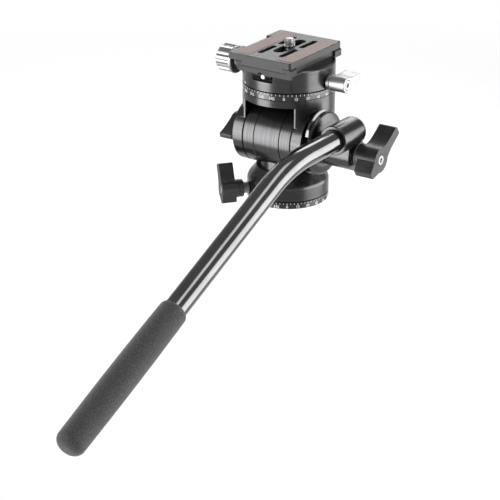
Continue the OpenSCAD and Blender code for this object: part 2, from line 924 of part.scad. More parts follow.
module handle_knob() {
    color(black) on_handle_knob()
        wing_knob(handle_knob_len, handle_knob_r, handle_knob_wing, handle_knob_stub, handle_knob_tip,
            wing_hollow, handle_wing_from, pivot_stud_r, handle_bore_end, end_screw_r);
}

module handle_knob_screw() {
    color(silver) on_handle_knob() end_screw(handle_knob_len, end_screw_r);
}

module scale_ring() {
    edge = chamfer / 2;
    color(black) rotate_extrude() polygon([
        [turn_spindle_r, scale_z], [head_r - edge, scale_z], [head_r, scale_z + edge],
        [head_r, scale_top - edge], [head_r - edge, scale_top], [turn_spindle_r, scale_top]
    ]);
}

module turntable_spindle() {
    color(steel) difference() {
        translate([0, 0, platform_z + over])
            cylinder(r = turn_spindle_r, h = retainer_z - platform_z - over);
        translate([0, 0, retainer_z - 8]) cylinder(r = 2, h = 8 + over);
    }
}

turn_washer_in = turn_spindle_r + 1.5;
turn_washer_out = head_r - 7;

module turntable_washer() {
    color(white_nylon) ring_z(turn_washer_in, turn_washer_out, scale_top, turn_z + 0.8);
}

module turntable_retainer() {
    color(steel) ring_z(2, retainer_r, retainer_z, retainer_z + retainer_t);
}

module retainer_screw() {
    top = retainer_z + retainer_t;
    color(steel) {
        translate([0, 0, retainer_z - 8]) cylinder(r = 2, h = 8 + retainer_t);
        translate([0, 0, top]) difference() {
            cylinder(r = 3.6, h = 2);
            translate([0, 0, 0.8]) cylinder(d = hex_across, h = 2, $fn = 6);
        }
    }
}

// Bore and pin holes of the moving jaw, drawn outwards along -X from one station
module jaw_holes(x_in, screw_r, hole_r) {
    bar_x(screw_r, -2 * head_r, x_in, screw_y, screw_z);
    for (side = [-1, 1]) bar_x(hole_r, -2 * head_r, x_in, screw_y + side * pin_step, pin_z);
}

pin_len = 6;
pin_in = -sqrt(head_r * head_r - pow(screw_back + pin_step, 2)) + pin_len;

module turntable() {
    color(black) difference() {
        rotate_extrude() polygon([
            [0, turn_z], [head_r - chamfer / 2, turn_z], [head_r, turn_z + chamfer / 2],
            [head_r, turn_top - chamfer], [head_r - chamfer, turn_top], [0, turn_top]
        ]);
        translate([0, 0, turn_z - over]) cylinder(r = turn_spindle_r + run, h = turntable_h);
        translate([0, 0, turn_z - over]) cylinder(r = turn_washer_out + gap, h = 0.9 + over);
        translate([0, 0, turn_ledge]) cylinder(r = turn_cavity_r, h = turntable_h);
        block([-clamp_left - run, -head_d, channel_z], [clamp_right + run, head_d, turn_top + over]);
        block([level_x0, -head_d, level_z], [level_x1, -head_r + level_deep, channel_z + over]);
        bar_x(lever_stud_r + run, 0, head_r + over, 0, lever_z);
        bar_x(clamp_screw_r + run, -head_r - over, screw_tip + over, screw_y, screw_z);
        for (side = [-1, 1]) bar_x(pin_r, -head_r - over, pin_in, screw_y + side * pin_step, pin_z);
        for (p = base_screws) translate([p[0], p[1], channel_z - base_screw_grip - over])
            cylinder(r = base_screw_r, h = base_screw_grip + 2 * over);
    }
}

module level_holder() {
    back = -head_r + level_deep;
    color(black) difference() {
        block([level_x0, vial_y - vial_r * 0.3, level_z], [level_x1, back, channel_z]);
        bar_x(vial_r, level_x0 + level_wall, level_x1 - level_wall, vial_y, vial_z);
        block([level_x0 + level_wall, vial_y - head_r, vial_z - vial_r],
            [level_x1 - level_wall, vial_y, vial_z + vial_r]);
    }
}

module level_vial() {
    color("#dfe8dc") bar_x(vial_r, level_x0 + level_wall, level_x1 - level_wall, vial_y, vial_z);
}

module lever_shoe() {
    color(brass) bar_x(lever_stud_r + run, lever_shoe_in, lever_shoe_out, 0, lever_z);
}

module lever_stud() {
    color(steel) bar_x(lever_stud_r, lever_shoe_out + slide, lever_wing_x, 0, lever_z);
}

module lever_hub() {
    color(silver) difference() {
        bar_x(lever_r, lever_hub_x, lever_wing_x, 0, lever_z);
        bar_x(lever_stud_r, lever_hub_x - over, lever_wing_x + over, 0, lever_z);
    }
}

lever_clock = 10;
lever_tip = 1.8;

module lever_wing() {
    color(silver) on_axis_x(lever_wing_x, 0, lever_z, lever_clock) difference() {
        linear_extrude(lever_wing_t) wing_outline(lever_r, lever_wing_len, 0, lever_tip, lever_hollow);
        translate([0, 0, lever_wing_t - end_screw_h]) cylinder(r = end_screw_r, h = end_screw_h + over);
    }
}

module lever_screw() {
    color(steel) on_axis_x(lever_wing_x, 0, lever_z, lever_clock) end_screw(lever_wing_t, end_screw_r);
}

// Section of the fixed jaw, undercut to hold the dovetail
module fixed_jaw_outline() {
    foot = dovetail_x + dovetail_half + jaw_clear;
    lip = foot - (jaw_top - dovetail_z);
    bevel = 0.9;
    polygon([
        [foot, floor_top - over], [clamp_right, floor_top - over], [clamp_right, jaw_top - bevel],
        [clamp_right - bevel, jaw_top], [lip, jaw_top], [foot, dovetail_z]
    ]);
}

// Section of the moving jaw
module moving_jaw_outline() {
    foot = dovetail_x - dovetail_half - jaw_clear;
    lip = foot + (jaw_top - dovetail_z);
    polygon([[foot, dovetail_z], [lip, jaw_top], [block_out, jaw_top], [block_out, dovetail_z]]);
}

// Section of the rail behind the moving jaw
module rail_outline() {
    foot = dovetail_x - dovetail_half - jaw_clear;
    lip = foot + (jaw_top - dovetail_z);
    polygon([
        [-clamp_left, floor_top - over], [foot, floor_top - over], [foot, dovetail_z], [lip, jaw_top],
        [rail_out, jaw_top], [-clamp_left, floor_top]
    ]);
}

// Section of the clamp floor down to one height, its left foot cut back at 45 degrees
module floor_outline(z) {
    polygon([
        [-clamp_left + floor_top - z, z], [clamp_right, z], [clamp_right, floor_top],
        [-clamp_left, floor_top]
    ]);
}

module clamp_base() {
    relief = 1.4;
    end = 7;
    sight_r = 2;
    color(dark_grey) difference() {
        union() {
            along_y(plate_y0, plate_y1) floor_outline(channel_z);
            along_y(plate_y0, -head_r - gap) floor_outline(lip_z);
            along_y(plate_y0, plate_y1) fixed_jaw_outline();
            along_y(plate_y0, jaw_y0 - gap) rail_outline();
        }
        translate([level_x + 0.3, plate_y0 - over, channel_z - sight_r - run]) rotate([-90, 0, 0])
            cylinder(r = sight_r, h = 2 * over - head_r - plate_y0);
        block([clamp_right - relief, plate_y0 + end, turn_top + slide],
            [clamp_right + over, plate_y1 - end, jaw_top + over]);
        for (p = base_screws) translate([p[0], p[1], channel_z - over]) {
            cylinder(r = base_screw_r, h = clamp_floor + 2 * over);
            translate([0, 0, over + clamp_floor - base_screw_head])
                cylinder(r = base_screw_head_r, h = over + base_screw_head);
        }
    }
}

module clamp_base_screws() {
    below = clamp_floor + base_screw_grip;
    color(steel) for (p = base_screws) translate([p[0], p[1], floor_top]) difference() {
        union() {
            translate([0, 0, -below]) cylinder(r = base_screw_r, h = below - base_screw_head);
            translate([0, 0, -base_screw_head]) cylinder(r = base_screw_head_r, h = base_screw_head);
        }
        translate([0, 0, -base_screw_head * 0.6])
            cylinder(d = base_screw_hex, h = base_screw_head, $fn = 6);
    }
}

module jaw_guide_pins() {
    color(steel) for (side = [-1, 1])
        bar_x(pin_r, block_out - pin_proud, pin_in, screw_y + side * pin_step, pin_z);
}

// Boss round the clamp screw that carries the moving jaw past the turntable
module jaw_boss() {
    difference() {
        union() {
            bar_x(boss_half, block_out, boss_in, screw_y, screw_z);
            block([block_out, screw_y - boss_half, screw_z], [boss_in, screw_y + boss_half, jaw_top]);
        }
        translate([0, 0, turn_z]) cylinder(r = head_r + gap, h = dovetail_z - turn_z);
    }
}

module moving_jaw() {
    color(black) difference() {
        union() {
            along_y(jaw_y0, jaw_y1) moving_jaw_outline();
            jaw_boss();
        }
        jaw_holes(boss_in + over, clamp_screw_r + run, pin_r + run);
    }
}

module clamp_collar() {
    color(silver) difference() {
        bar_x(collar_r, clamp_knob_x, collar_x, screw_y, screw_z);
        bar_x(clamp_screw_r, clamp_knob_x - over, collar_x + over, screw_y, screw_z);
    }
}

module clamp_screw() {
    color(steel) bar_x(clamp_screw_r, clamp_knob_x - clamp_knob_len + 3, screw_tip, screw_y, screw_z);
}

module clamp_knob() {
    flute_r = clamp_knob_r * 0.2;
    color(silver) translate([clamp_knob_x, screw_y, screw_z]) rotate([0, -90, 0]) difference() {
        rotate_extrude() polygon([
            [clamp_screw_r, 0], [clamp_knob_r - chamfer, 0], [clamp_knob_r, chamfer],
            [clamp_knob_r, clamp_knob_len - 1.2], [clamp_knob_r - 1.2, clamp_knob_len],
            [0, clamp_knob_len], [0, clamp_knob_len - 3], [clamp_screw_r, clamp_knob_len - 3]
        ]);
        for (i = [0 : clamp_flutes - 1]) rotate([0, 0, i * 360 / clamp_flutes])
            translate([clamp_knob_r + flute_r * 0.4, 0, 1.6]) cylinder(r = flute_r, h = clamp_knob_len);
    }
}

// Top outline of the plate with the cut-out in its left edge
module plate_outline() {
    corner = 1;
    difference() {
        translate([plate_left, plate_y0]) polygon([
            [corner, 0], [plate_w - corner, 0], [plate_w, corner], [plate_w, plate_l - corner],
            [plate_w - corner, plate_l], [corner, plate_l], [0, plate_l - corner], [0, corner]
        ]);
        translate([plate_left - over, plate_y - notch_len / 2]) square([notch_deep + over, notch_len]);
    }
}

// Slot with round ends, drawn along Y about its own centre
module slot(w, len) {
    square([w, len - w], center = true);
    for (side = [-1, 1]) translate([0, side * (len - w) / 2]) circle(d = w);
}

side_slot_len = 17;
side_slot_y = 10.6;

module quick_release_plate() {
    color(plate_grey) difference() {
        union() {
            translate([0, 0, plate_z]) linear_extrude(plate_t) plate_outline();
            along_y(plate_y0, plate_y1) polygon([
                [dovetail_x - dovetail_half, dovetail_z], [dovetail_x + dovetail_half, dovetail_z],
                [dovetail_x + dovetail_neck, plate_z + slide],
                [dovetail_x - dovetail_neck, plate_z + slide]
            ]);
        }
        translate([camera_x, camera_y, 0]) {
            translate([0, 0, plate_z - over]) linear_extrude(plate_t + 2 * over)
                slot(camera_screw_d + 2 * slide, slot_len);
            translate([0, 0, dovetail_z - over]) linear_extrude(dovetail_h + over)
                slot(2 * pocket_half, slot_len + 2 * pocket_half);
        }
        for (sx = [-1, 1], sy = [-1, 1])
            translate([camera_x + sx * side_slot_step, plate_y + sy * side_slot_y, dovetail_z - over])
                linear_extrude(dovetail_h + plate_t + 2 * over) slot(side_slot_w, side_slot_len);
        for (side = [-1, 1]) pad(side, plate_top - pad_seat, pad_seat + over);
    }
}

// Rubber strip beside the slots
module pad(side, z, h) {
    x = camera_x + side * pad_step;
    translate([x - pad_w / 2, plate_y - pad_len / 2, z]) cube([pad_w, pad_len, h]);
}

module plate_pads() {
    color(rubber_brown) for (side = [-1, 1]) pad(side, plate_top - pad_seat, pad_seat + pad_proud);
}

module camera_screw() {
    head_z = dovetail_z + slide;
    head_h = dovetail_h - 2 * slide;
    thread_z = plate_top + pad_proud - head_z;
    color(silver) translate([camera_x, camera_y, head_z]) difference() {
        union() {
            cylinder(r = head_flange_r, h = head_h);
            cylinder(r = camera_r - neck_relief, h = thread_z);
            translate([0, 0, thread_z]) cylinder(r = camera_r, h = camera_screw_show);
        }
        translate([-head_flange_r, -0.8, -over]) cube([2 * head_flange_r, 1.6, over + 1.2]);
    }
}

base_disc();
tripod_bush();
pan_spindle();
pan_thrust_washer();
pan_drag_washer();
pan_nut();
pan_housing();
drum_ring_left();
drum_ring_right();
tilt_bush_left();
tilt_bush_right();
damper_plates();
pan_lock_shoe();
pan_lock_stud();
pan_lock_collar();
pan_lock_knob();
pan_lock_screw();
tilt_fork();
tilt_axle();
damper_rotor();
tilt_lock_spacer();
tilt_lock_knob();
tilt_lock_screw();
handle_boss();
boss_screws();
rosette();
handle_bracket();
handle_grub_screw();
handle_tube();
handle_end_plug();
handle_grip();
handle_knob_washer();
handle_knob_stud();
handle_knob();
handle_knob_screw();
scale_ring();
turntable_spindle();
turntable_washer();
turntable_retainer();
retainer_screw();
turntable();
level_holder();
level_vial();
lever_shoe();
lever_stud();
lever_hub();
lever_wing();
lever_screw();
clamp_base();
clamp_base_screws();
jaw_guide_pins();
moving_jaw();
clamp_collar();
clamp_screw();
clamp_knob();
quick_release_plate();
plate_pads();
camera_screw();
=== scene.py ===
import json
import math

import bmesh
import bpy
from mathutils import Matrix, Vector


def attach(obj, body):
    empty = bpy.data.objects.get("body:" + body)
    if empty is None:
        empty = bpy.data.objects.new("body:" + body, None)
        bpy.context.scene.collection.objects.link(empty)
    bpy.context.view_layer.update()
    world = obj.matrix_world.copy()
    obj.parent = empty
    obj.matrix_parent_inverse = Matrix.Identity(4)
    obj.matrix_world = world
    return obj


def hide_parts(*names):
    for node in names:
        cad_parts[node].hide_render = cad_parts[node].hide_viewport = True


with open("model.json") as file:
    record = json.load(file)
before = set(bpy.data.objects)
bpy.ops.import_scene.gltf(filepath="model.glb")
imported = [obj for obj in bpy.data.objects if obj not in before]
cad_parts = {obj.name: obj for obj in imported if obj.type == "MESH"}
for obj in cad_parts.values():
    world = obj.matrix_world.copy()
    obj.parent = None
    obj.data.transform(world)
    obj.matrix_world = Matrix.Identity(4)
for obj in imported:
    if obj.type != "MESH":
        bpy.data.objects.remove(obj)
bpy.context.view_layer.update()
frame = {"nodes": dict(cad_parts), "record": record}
cadNodes = frame["nodes"]
bodyOf = {node: body for body, names in frame["record"]["behaviour"]["bodies"].items() for node in names}
slotOf = {row["node"]: row["material_slot"] for row in frame["record"]["subparts"]}
mm = 0.001
print("frame loaded:", len(cadNodes), "nodes")


# camera at the photo's angle, for a square picture
shot = {"place": (0.48456, -0.75293, 0.36032), "azimuth": 34.22, "pitch": 23.93, "lens": 115.2,
        "sensor": 36.0}


def makeCamera():
    data = bpy.data.cameras.new("shotCamera")
    data.lens = shot["lens"]
    data.sensor_width = shot["sensor"]
    data.clip_start = 0.01
    camera = bpy.data.objects.new("shotCamera", data)
    camera.location = shot["place"]
    camera.rotation_euler = (math.radians(90 - shot["pitch"]), 0, math.radians(shot["azimuth"]))
    bpy.context.scene.collection.objects.link(camera)
    bpy.context.scene.camera = camera


# studio: softboxes round the object by compass direction and height, spread in degrees, power in watts
studio = {
    "centre": Vector((0, -0.01, 0.05)),
    "lamps": {
        "leftBox": {"azimuth": -32, "elevation": -2, "far": 1.3, "size": (0.80, 1.36), "spread": 130,
                    "power": 12.0},
        "rightBox": {"azimuth": 115, "elevation": -2, "far": 1.3, "size": (1.80, 1.05), "spread": 150,
                     "power": 21.0},
        "topStrip": {"azimuth": 118, "elevation": 68, "far": 1.2, "size": (0.9, 0.4), "spread": 120,
                     "power": 1.8},
        "backBox": {"azimuth": -146, "elevation": 23, "far": 2.2, "size": (2.2, 1.3), "spread": 180,
                    "power": 42.0, "aim": Vector((-1.13, 1.68, -0.5))},
    },
    "world": (0.13, 0.131, 0.133, 1),
    "floorDrop": -0.75,
    "floorSize": 30.0,
    "floorColour": (0.93, 0.93, 0.925, 1),
    "whiteFrom": (2.0, 3.2),    # metres from the object where the lit floor runs out into plain white
    "whiteSky": (0.16, 0.06),   # height above the horizon where that white ends
    "whiteNear": 0.25,          # share of white on the rest
}


def makeLamp(name, values):
    data = bpy.data.lights.new(name, "AREA")
    data.shape = "RECTANGLE"
    data.size, data.size_y = values["size"]
    data.spread = math.radians(values["spread"])
    data.energy = values["power"]
    lamp = bpy.data.objects.new(name, data)
    turn, rise = math.radians(values["azimuth"]), math.radians(values["elevation"])
    away = Vector((math.sin(turn) * math.cos(rise), -math.cos(turn) * math.cos(rise), math.sin(rise)))
    lamp.location = studio["centre"] + away * values["far"]
    look = values.get("aim", studio["centre"]) - lamp.location
    lamp.rotation_euler = look.to_track_quat("-Z", "Y").to_euler()
    lamp.visible_camera = False
    bpy.context.scene.collection.objects.link(lamp)


def combine(tree, operation, one, two):
    node = tree.nodes.new("ShaderNodeMath")
    node.operation = operation
    tree.links.new(one, node.inputs[0])
    if isinstance(two, float):
        node.inputs[1].default_value = two
    else:
        tree.links.new(two, node.inputs[1])
    return node.outputs["Value"]


# plain white for the camera and in what metal mirrors; the light on the object stays as it is
def whiteBackdrop(tree, place, limits, under, over):
    paths = tree.nodes.new("ShaderNodeLightPath").outputs
    seen = combine(tree, "MAXIMUM", paths["Is Camera Ray"], paths["Is Glossy Ray"])
    seen = combine(tree, "MAXIMUM", seen, paths["Is Transmission Ray"])
    fade = tree.nodes.new("ShaderNodeMapRange")
    fade.interpolation_type = "SMOOTHSTEP"
    fade.inputs["From Min"].default_value, fade.inputs["From Max"].default_value = limits
    tree.links.new(place, fade.inputs["Value"])
    tree.links.new(seen, fade.inputs["To Max"])
    near = combine(tree, "MULTIPLY", seen, studio["whiteNear"])
    mix = tree.nodes.new("ShaderNodeMixShader")
    tree.links.new(combine(tree, "MAXIMUM", near, fade.outputs["Result"]), mix.inputs["Fac"])
    tree.links.new(under, mix.inputs[1])
    tree.links.new(over, mix.inputs[2])
    return mix.outputs["Shader"]


def makeWorld():
    world = bpy.data.worlds.new("studioWorld")
    world.use_nodes = True
    tree = world.node_tree
    sky = tree.nodes["Background"]
    sky.inputs["Color"].default_value = studio["world"]
    white = tree.nodes.new("ShaderNodeBackground")
    white.inputs["Color"].default_value = (1, 1, 1, 1)
    way = tree.nodes.new("ShaderNodeSeparateXYZ")
    tree.links.new(tree.nodes.new("ShaderNodeTexCoord").outputs["Generated"], way.inputs["Vector"])
    backdrop = whiteBackdrop(tree, way.outputs["Z"], studio["whiteSky"], sky.outputs[0], white.outputs[0])
    tree.links.new(backdrop, tree.nodes["World Output"].inputs["Surface"])
    bpy.context.scene.world = world


def makeFloor():
    bm = bmesh.new()
    bmesh.ops.create_grid(bm, x_segments=1, y_segments=1, size=studio["floorSize"])
    bmesh.ops.translate(bm, verts=bm.verts, vec=(0, 0, studio["floorDrop"]))
    floor = meshObject("studioFloor", bm)
    paper, tree, shader = startMaterial("floorPaper")
    shader.inputs["Base Color"].default_value = studio["floorColour"]
    shader.inputs["Roughness"].default_value = 0.9
    grain = texture(tree, "ShaderNodeTexNoise", 60, {"Detail": 4})
    lump(tree, shader, grain.outputs["Fac"], 0.02, 0.001)
    white = tree.nodes.new("ShaderNodeEmission")
    far = tree.nodes.new("ShaderNodeVectorMath")
    far.operation = "LENGTH"
    tree.links.new(tree.nodes.new("ShaderNodeTexCoord").outputs["Object"], far.inputs[0])
    distance = far.outputs["Value"]
    backdrop = whiteBackdrop(tree, distance, studio["whiteFrom"], shader.outputs[0], white.outputs[0])
    tree.links.new(backdrop, tree.nodes["Material Output"].inputs["Surface"])
    floor.data.materials.append(paper)


def makeStudio():
    for name, values in studio["lamps"].items():
        makeLamp(name, values)
    makeWorld()
    makeFloor()
    bpy.context.scene.view_settings.view_transform = "Standard"


# material helpers
def startMaterial(name):
    material = bpy.data.materials.new(name)
    material.use_nodes = True
    return material, material.node_tree, material.node_tree.nodes["Principled BSDF"]


def texture(tree, kind, scale, values=None, stretch=(1, 1, 1), turn=(0, 0, 0)):
    coords = tree.nodes.new("ShaderNodeTexCoord")
    mapping = tree.nodes.new("ShaderNodeMapping")
    mapping.inputs["Scale"].default_value = stretch
    mapping.inputs["Rotation"].default_value = turn
    tree.links.new(coords.outputs["Object"], mapping.inputs["Vector"])
    node = tree.nodes.new(kind)
    node.inputs["Scale"].default_value = scale
    for key, value in (values or {}).items():
        node.inputs[key].default_value = value
    tree.links.new(mapping.outputs["Vector"], node.inputs["Vector"])
    return node


def between(tree, value, low, high, into):
    spread = tree.nodes.new("ShaderNodeMapRange")
    spread.inputs["From Min"].default_value = 0.3
    spread.inputs["From Max"].default_value = 0.7
    spread.inputs["To Min"].default_value = low
    spread.inputs["To Max"].default_value = high
    tree.links.new(value, spread.inputs["Value"])
    tree.links.new(spread.outputs["Result"], into)


def colours(tree, value, stops, into):
    ramp = tree.nodes.new("ShaderNodeValToRGB")
    while len(ramp.color_ramp.elements) < len(stops):
        ramp.color_ramp.elements.new(0.5)
    for element, (place, colour) in zip(ramp.color_ramp.elements, stops):
        element.position = place
        element.color = (*colour, 1)
    tree.links.new(value, ramp.inputs["Fac"])
    tree.links.new(ramp.outputs["Color"], into)


def lump(tree, shader, height, strength, distance, under=None):
    bump = tree.nodes.new("ShaderNodeBump")
    bump.inputs["Strength"].default_value = strength
    bump.inputs["Distance"].default_value = distance
    tree.links.new(height, bump.inputs["Height"])
    if under:
        tree.links.new(under.outputs["Normal"], bump.inputs["Normal"])
    tree.links.new(bump.outputs["Normal"], shader.inputs["Normal"])
    return bump


# turned marks are drawn out round the axis named, and milled faces have none
def drawnOut(axis, share=0.004):
    stretch = [share, share, share]
    stretch["xyz".index(axis)] = 1
    return stretch


# black anodised metal
anodised = {"dark": (0.056, 0.056, 0.057), "light": (0.076, 0.076, 0.078), "metallic": 0.92,
            "rough": (0.22, 0.26), "smear": 420, "grain": 2600, "turnMarks": 1900, "markDepth": 0.00001}


def blackMetal(name, axis=None):
    material, tree, shader = startMaterial(name)
    shader.inputs["Metallic"].default_value = anodised["metallic"]
    smear = texture(tree, "ShaderNodeTexNoise", anodised["smear"], {"Detail": 3})
    between(tree, smear.outputs["Fac"], *anodised["rough"], shader.inputs["Roughness"])
    grain = texture(tree, "ShaderNodeTexNoise", anodised["grain"], {"Detail": 2})
    under = lump(tree, shader, grain.outputs["Fac"], 0.04, 0.00002)
    shade = grain
    if axis:
        shade = texture(tree, "ShaderNodeTexNoise", anodised["turnMarks"], {"Detail": 3}, drawnOut(axis))
        lump(tree, shader, shade.outputs["Fac"], 0.10, anodised["markDepth"], under)
    colours(tree, shade.outputs["Fac"], [(0.35, anodised["dark"]), (0.65, anodised["light"])],
            shader.inputs["Base Color"])
    return material


# moulded plastic of the wing knobs: fine spark-eroded texture, a little paler in random clouds
knobPlastic = {"dark": (0.012, 0.012, 0.013), "light": (0.022, 0.022, 0.023), "rough": (0.36, 0.50),
               "cloud": 220, "grain": 1900}


def blackPlastic():
    material, tree, shader = startMaterial("knobPlastic")
    cloud = texture(tree, "ShaderNodeTexNoise", knobPlastic["cloud"], {"Detail": 4})
    colours(tree, cloud.outputs["Fac"], [(0.35, knobPlastic["dark"]), (0.7, knobPlastic["light"])],
            shader.inputs["Base Color"])
    between(tree, cloud.outputs["Fac"], *knobPlastic["rough"], shader.inputs["Roughness"])
    grain = texture(tree, "ShaderNodeTexVoronoi", knobPlastic["grain"])
    lump(tree, shader, grain.outputs["Distance"], 0.18, 0.00005)
    return material


# gloss paint of the handle tube
tubePaint = {"dark": (0.120, 0.120, 0.122), "light": (0.145, 0.145, 0.148), "metallic": 0.95,
             "rough": (0.11, 0.15), "cloud": 90, "peel": 700}


def glossBlack():
    material, tree, shader = startMaterial("tubePaint")
    shader.inputs["Metallic"].default_value = tubePaint["metallic"]
    cloud = texture(tree, "ShaderNodeTexNoise", tubePaint["cloud"], {"Detail": 4})
    colours(tree, cloud.outputs["Fac"], [(0.35, tubePaint["dark"]), (0.7, tubePaint["light"])],
            shader.inputs["Base Color"])
    between(tree, cloud.outputs["Fac"], *tubePaint["rough"], shader.inputs["Roughness"])
    peel = texture(tree, "ShaderNodeTexNoise", tubePaint["peel"], {"Detail": 1})
    lump(tree, shader, peel.outputs["Fac"], 0.01, 0.0001)
    return material


# closed-cell foam of the grip: open pores and a dull sheen
gripFoam = {"dark": (0.018, 0.018, 0.019), "mid": (0.040, 0.040, 0.042), "light": (0.075, 0.075, 0.078),
            "rough": 0.88, "pore": 1500, "cell": 900}


def foam():
    material, tree, shader = startMaterial("gripFoam")
    shader.inputs["Roughness"].default_value = gripFoam["rough"]
    shader.inputs["Sheen Weight"].default_value = 0.25
    shader.inputs["Sheen Roughness"].default_value = 0.5
    pores = texture(tree, "ShaderNodeTexVoronoi", gripFoam["pore"])
    colours(tree, pores.outputs["Distance"],
            [(0.05, gripFoam["dark"]), (0.35, gripFoam["mid"]), (0.8, gripFoam["light"])],
            shader.inputs["Base Color"])
    cells = texture(tree, "ShaderNodeTexNoise", gripFoam["cell"], {"Detail": 6, "Roughness": 0.7})
    under = lump(tree, shader, cells.outputs["Fac"], 0.5, 0.0002)
    lump(tree, shader, pores.outputs["Distance"], 0.5, 0.0003, under)
    return material


# bright metals, and the grey coats of the plate and clamp, whose gloss is their specular level
silverMetal = {"dark": (0.30, 0.302, 0.305), "light": (0.40, 0.402, 0.405), "rough": (0.38, 0.48)}
steelMetal = {"dark": (0.36, 0.365, 0.37), "light": (0.52, 0.525, 0.53), "rough": (0.24, 0.36)}
brassMetal = {"dark": (0.52, 0.38, 0.14), "light": (0.72, 0.56, 0.26), "rough": (0.22, 0.34)}
plateCoat = {"dark": (0.028, 0.028, 0.029), "light": (0.036, 0.036, 0.037), "rough": (0.36, 0.44),
             "gloss": 0.3}
clampCoat = {"dark": (0.024, 0.024, 0.025), "light": (0.031, 0.031, 0.032), "rough": (0.38, 0.46),
             "gloss": 0.28}
holderCoat = {"dark": (0.006, 0.006, 0.006), "light": (0.010, 0.010, 0.010), "rough": (0.55, 0.65),
              "gloss": 0.08}
metalGrain = {"cloud": 260, "marks": 3000}


def brightMetal(name, values, axis=None, metallic=1.0):
    material, tree, shader = startMaterial(name)
    shader.inputs["Metallic"].default_value = metallic
    shader.inputs["Specular IOR Level"].default_value = values.get("gloss", 0.5)
    cloud = texture(tree, "ShaderNodeTexNoise", metalGrain["cloud"], {"Detail": 5, "Roughness": 0.65})
    colours(tree, cloud.outputs["Fac"], [(0.3, values["dark"]), (0.7, values["light"])],
            shader.inputs["Base Color"])
    between(tree, cloud.outputs["Fac"], *values["rough"], shader.inputs["Roughness"])
    stretch = drawnOut(axis) if axis else (1, 1, 1)
    marks = texture(tree, "ShaderNodeTexNoise", metalGrain["marks"], {"Detail": 3}, stretch)
    lump(tree, shader, marks.outputs["Fac"], 0.12, 0.00002)
    return material


# rubber of the plate pads, dusty pinkish brown
padRubber = {"dark": (0.34, 0.25, 0.235), "mid": (0.46, 0.365, 0.345), "light": (0.56, 0.47, 0.45),
             "speck": 1300, "crumb": 1100}


def rubberPads():
    material, tree, shader = startMaterial("padRubber")
    shader.inputs["Roughness"].default_value = 0.8
    specks = texture(tree, "ShaderNodeTexNoise", padRubber["speck"], {"Detail": 6, "Roughness": 0.7})
    colours(tree, specks.outputs["Fac"],
            [(0.32, padRubber["dark"]), (0.5, padRubber["mid"]), (0.72, padRubber["light"])],
            shader.inputs["Base Color"])
    crumbs = texture(tree, "ShaderNodeTexVoronoi", padRubber["crumb"])
    lump(tree, shader, crumbs.outputs["Distance"], 0.35, 0.0002)
    return material


# small pieces: paint of the marks, nylon of the washers, the level's fluid, near black as painted shade of
# its recess, and its bubble, white as a painted highlight
def whiteMarks():
    material, tree, shader = startMaterial("markPaint")
    shader.inputs["Roughness"].default_value = 0.55
    wear = texture(tree, "ShaderNodeTexNoise", 900, {"Detail": 4})
    colours(tree, wear.outputs["Fac"], [(0.3, (0.56, 0.56, 0.55)), (0.6, (0.80, 0.80, 0.79))],
            shader.inputs["Base Color"])
    lump(tree, shader, wear.outputs["Fac"], 0.1, 0.00002)
    return material


def whiteNylon():
    material, tree, shader = startMaterial("washerNylon")
    shader.inputs["Roughness"].default_value = 0.5
    shader.inputs["Subsurface Weight"].default_value = 0.1
    shader.inputs["Subsurface Radius"].default_value = (0.002, 0.002, 0.002)
    milk = texture(tree, "ShaderNodeTexNoise", 200, {"Detail": 3})
    colours(tree, milk.outputs["Fac"], [(0.3, (0.80, 0.79, 0.74)), (0.7, (0.88, 0.87, 0.83))],
            shader.inputs["Base Color"])
    lump(tree, shader, milk.outputs["Fac"], 0.08, 0.0001)
    return material


# near-black fluid of the level: painted shade of the recess the vial sits in
def vialFluid():
    material, tree, shader = startMaterial("vialFluid")
    shader.inputs["Roughness"].default_value = 0.3
    shader.inputs["Specular IOR Level"].default_value = 0.12
    swirl = texture(tree, "ShaderNodeTexNoise", 300, {"Detail": 2})
    colours(tree, swirl.outputs["Fac"], [(0.3, (0.006, 0.007, 0.006)), (0.7, (0.012, 0.014, 0.011))],
            shader.inputs["Base Color"])
    return material


# near-white bubble: a painted highlight standing in for the glint of the air bubble
def bubbleAir():
    material, tree, shader = startMaterial("bubbleAir")
    shader.inputs["Roughness"].default_value = 0.12
    shader.inputs["Coat Weight"].default_value = 0.5
    cloud = texture(tree, "ShaderNodeTexNoise", 400, {"Detail": 2})
    colours(tree, cloud.outputs["Fac"], [(0.3, (0.86, 0.87, 0.84)), (0.7, (0.95, 0.95, 0.93))],
            shader.inputs["Base Color"])
    return material


finish = {
    "milled": blackMetal("anodisedMilled"),
    "turnedX": blackMetal("anodisedTurnedX", "x"),
    "turnedZ": blackMetal("anodisedTurnedZ", "z"),
    "plastic": blackPlastic(),
    "tube": glossBlack(),
    "foam": foam(),
    "silver": brightMetal("silverMilled", silverMetal),
    "silverTurned": brightMetal("silverTurnedX", silverMetal, "x"),
    "steel": brightMetal("steelScrew", steelMetal),
    "brass": brightMetal("brassTurned", brassMetal),
    "plate": brightMetal("plateGrey", plateCoat, None, 0),
    "clamp": brightMetal("clampGrey", clampCoat, None, 0),
    "holder": brightMetal("holderBlack", holderCoat, None, 0),
    "pads": rubberPads(),
    "marks": whiteMarks(),
    "nylon": whiteNylon(),
    "vial": vialFluid(),
    "bubble": bubbleAir(),
}
slotFinish = {"black_body": "milled", "black_trim": "milled", "black_knob": "plastic", "tube": "tube",
              "foam": "foam", "clamp_grey": "clamp", "plate_grey": "plate", "pad_rubber": "pads",
              "silver": "silver", "steel": "steel", "brass": "brass", "nylon": "nylon", "vial": "vial"}
print("materials made:", len(finish))


# mesh helpers, with gaps and edges in metres and angles in degrees
meshWork = {"mergeGap": 2e-6, "tinyEdge": 0.05 * mm, "sharpAngle": 32, "smoothAngle": 40, "bevelSteps": 4,
            "flatAngle": 0.5}


